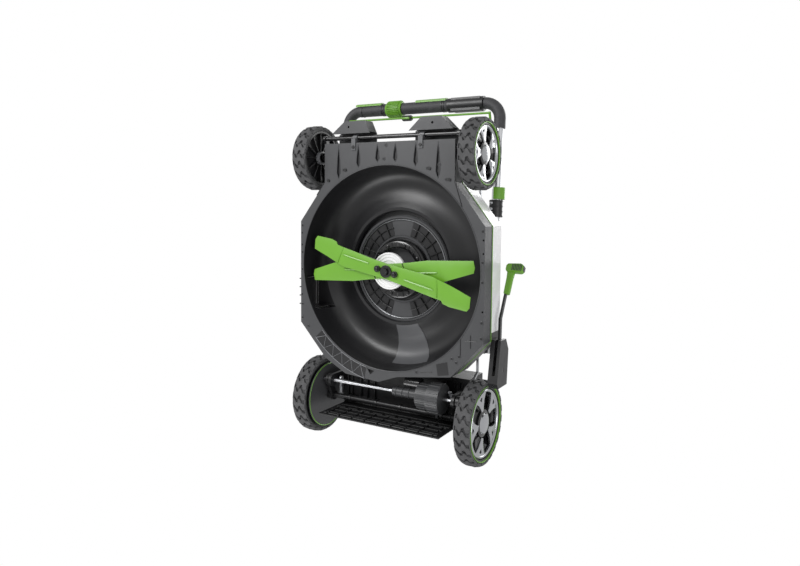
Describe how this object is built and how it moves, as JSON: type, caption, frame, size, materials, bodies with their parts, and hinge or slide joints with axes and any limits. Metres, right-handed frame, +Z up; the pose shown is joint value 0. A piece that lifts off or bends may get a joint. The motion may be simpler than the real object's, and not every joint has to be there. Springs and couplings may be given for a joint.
{
  "type": "push lawn mower",
  "caption": "Walk-behind rotary lawn mower with a moulded deck, stacked crossed blades, geared rear wheels, height lever and a handle folded forward for storage.",
  "frame": {"origin": "on the ground under the middle of the whole machine, handle folded", "axes": "+Z up from the ground, -Y towards the front wheels and bumper plates, +X towards the operator's left"},
  "size_m": [0.632, 0.9834, 0.308],
  "materials": {
    "deck_plastic": "satin",
    "black_plastic": "satin",
    "cover_plastic": "gloss",
    "green_plastic": "satin",
    "painted_blade": "satin",
    "white_metal": "satin",
    "handle_tube": "satin",
    "black_metal": "satin",
    "plated_steel": "zinc plated",
    "tyre_plastic": "matte",
    "silver_plastic": "metallic",
    "soft_grip": "matte",
    "flap_rubber": "matte"
  },
  "bodies": {
    "chassis": {"deck_shell": "black_plastic", "deck_skirt": "deck_plastic", "bumper_plates": "deck_plastic", "top_cover": "cover_plastic", "trim_strip": "green_plastic", "rear_frame": "black_plastic", "mount_plate": "deck_plastic", "motor_shroud": "black_plastic", "motor_stator": "plated_steel", "power_housing": "black_plastic", "battery": "deck_plastic", "discharge_plug": "deck_plastic", "handle_brackets": "black_metal", "pivot_bolts": "plated_steel", "axle_clips": "plated_steel", "screws": "plated_steel", "lever_gate": "black_plastic", "door_rods": "plated_steel"},
    "blades": {"motor_rotor": "plated_steel", "blade_adapter": "white_metal", "lower_blade": "painted_blade", "upper_blade": "painted_blade", "blade_bolt": "black_metal", "blade_studs": "black_metal"},
    "front_axle": {"front_axle_rod": "black_metal"},
    "rear_axle": {"rear_axle_arms": "black_metal", "gear_covers": "deck_plastic", "gear_case": "deck_plastic", "drive_motor": "black_plastic"},
    "drive_axle": {"drive_shaft": "plated_steel"},
    "front_left_wheel": {"front_left_tyre": "tyre_plastic", "front_left_rim": "black_plastic", "front_left_cover": "silver_plastic"},
    "front_right_wheel": {"front_right_tyre": "tyre_plastic", "front_right_rim": "black_plastic", "front_right_cover": "silver_plastic"},
    "rear_left_wheel": {"rear_left_tyre": "tyre_plastic", "rear_left_rim": "black_plastic", "rear_left_cover": "silver_plastic"},
    "rear_right_wheel": {"rear_right_tyre": "tyre_plastic", "rear_right_rim": "black_plastic", "rear_right_cover": "silver_plastic"},
    "lid": {"battery_lid": "black_plastic"},
    "side_flap": {"side_door": "black_plastic"},
    "rear_flap": {"rear_door": "black_plastic"},
    "shield": {"trail_shield": "flap_rubber"},
    "height_lever": {"lift_lever": "black_metal", "lever_grip": "green_plastic"},
    "link": {"link_rod": "plated_steel"},
    "handle_lower": {"lower_tubes": "handle_tube", "handle_clamps": "black_plastic"},
    "clamp_left": {"clamp_lever_left": "green_plastic"},
    "clamp_right": {"clamp_lever_right": "green_plastic"},
    "handle_upper": {"upper_tube": "handle_tube", "grip_sleeve": "soft_grip", "control_box": "black_plastic"},
    "dial": {"speed_dial": "green_plastic"},
    "paddles": {"drive_paddles": "green_plastic"},
    "bail": {"blade_bail": "painted_blade"},
    "button": {"start_button": "green_plastic"}
  },
  "joints": [
    {"name": "blade_spin", "type": "hinge", "parent": "chassis", "child": "blades", "pos_m": [0, 0, 0.07], "axis": [0, 0, 1], "continuous": true},
    {"name": "lift_lever_turn", "type": "hinge", "parent": "chassis", "child": "height_lever", "pos_m": [0.305, 0.24, 0.125], "axis": [1, 0, 0], "range_deg": [-16.5, 17.5]},
    {"name": "front_crank", "type": "hinge", "parent": "chassis", "child": "front_axle", "pos_m": [0, -0.365, 0.07], "axis": [1, 0, 0], "range_deg": [-33, 35]},
    {"name": "rear_crank", "type": "hinge", "parent": "chassis", "child": "rear_axle", "pos_m": [0, 0.3335, 0.089], "axis": [1, 0, 0], "range_deg": [-33, 35]},
    {"name": "link_turn", "type": "hinge", "parent": "rear_axle", "child": "link", "pos_m": [0.219, 0.3335, 0.129], "axis": [1, 0, 0], "range_deg": [-35, 33]},
    {"name": "front_left_spin", "type": "hinge", "parent": "front_axle", "child": "front_left_wheel", "pos_m": [0.257, -0.313, 0.0925], "axis": [1, 0, 0], "continuous": true},
    {"name": "front_right_spin", "type": "hinge", "parent": "front_axle", "child": "front_right_wheel", "pos_m": [-0.257, -0.313, 0.0925], "axis": [1, 0, 0], "continuous": true},
    {"name": "rear_left_spin", "type": "hinge", "parent": "rear_axle", "child": "rear_left_wheel", "pos_m": [0.257, 0.3855, 0.1115], "axis": [1, 0, 0], "continuous": true},
    {"name": "rear_right_spin", "type": "hinge", "parent": "rear_axle", "child": "rear_right_wheel", "pos_m": [-0.257, 0.3855, 0.1115], "axis": [1, 0, 0], "continuous": true},
    {"name": "drive_shaft_spin", "type": "hinge", "parent": "rear_axle", "child": "drive_axle", "pos_m": [0, 0.3335, 0.089], "axis": [1, 0, 0], "continuous": true},
    {"name": "handle_fold", "type": "hinge", "parent": "chassis", "child": "handle_lower", "pos_m": [0, 0.205, 0.194], "axis": [-1, 0, 0], "range_deg": [0, 126]},
    {"name": "handle_slide", "type": "slide", "parent": "handle_lower", "child": "handle_upper", "axis": [0, -0.9976, 0.0698], "range_m": [0, 0.25]},
    {"name": "clamp_left_turn", "type": "hinge", "parent": "handle_lower", "child": "clamp_left", "pos_m": [0.25, -0.19655, 0.24313], "axis": [0, -0.9976, 0.0698], "range_deg": [0, 100]},
    {"name": "clamp_right_turn", "type": "hinge", "parent": "handle_lower", "child": "clamp_right", "pos_m": [-0.25, -0.19655, 0.24313], "axis": [0, 0.9976, -0.0698], "range_deg": [0, 100]},
    {"name": "lid_turn", "type": "hinge", "parent": "chassis", "child": "lid", "pos_m": [0, 0.112, 0.302], "axis": [-1, 0, 0], "range_deg": [0, 80]},
    {"name": "side_door_turn", "type": "hinge", "parent": "chassis", "child": "side_flap", "pos_m": [-0.304, 0.079, 0.15], "axis": [0, 1, 0], "range_deg": [0, 75], "stiffness_Nm_per_rad": 0.2, "springref_deg": -22.92},
    {"name": "rear_door_turn", "type": "hinge", "parent": "chassis", "child": "rear_flap", "pos_m": [0.025, 0.4185, 0.247], "axis": [1, 0, 0], "range_deg": [0, 60], "stiffness_Nm_per_rad": 0.3, "springref_deg": -28.65},
    {"name": "shield_turn", "type": "hinge", "parent": "chassis", "child": "shield", "pos_m": [0, 0.4115, 0.15], "axis": [1, 0, 0], "range_deg": [0, 60]},
    {"name": "dial_turn", "type": "hinge", "parent": "handle_upper", "child": "dial", "pos_m": [-0.081, -0.46137, 0.2406], "axis": [1, 0, 0], "range_deg": [0, 150]},
    {"name": "paddle_press", "type": "hinge", "parent": "handle_upper", "child": "paddles", "pos_m": [0, -0.46137, 0.2406], "axis": [1, 0, 0], "range_deg": [0, 16], "stiffness_Nm_per_rad": 0.15, "springref_deg": -14.32},
    {"name": "bail_squeeze", "type": "hinge", "parent": "handle_upper", "child": "bail", "pos_m": [0, -0.38655, 0.23537], "axis": [-1, 0, 0], "range_deg": [0, 11], "stiffness_Nm_per_rad": 0.4, "springref_deg": -11.46},
    {"name": "start_press", "type": "slide", "parent": "handle_upper", "child": "button", "axis": [0, -0.0698, -0.9976], "range_m": [0, 0.003], "stiffness_N_per_m": 300, "springref_m": -0.002}
  ],
  "couplings": [
    {"joint": "front_crank", "follows": "lift_lever_turn", "ratio": 2},
    {"joint": "rear_crank", "follows": "lift_lever_turn", "ratio": 2},
    {"joint": "link_turn", "follows": "lift_lever_turn", "ratio": -2},
    {"joint": "rear_right_spin", "follows": "rear_left_spin", "ratio": 1},
    {"joint": "drive_shaft_spin", "follows": "rear_left_spin", "ratio": 7.3}
  ]
}
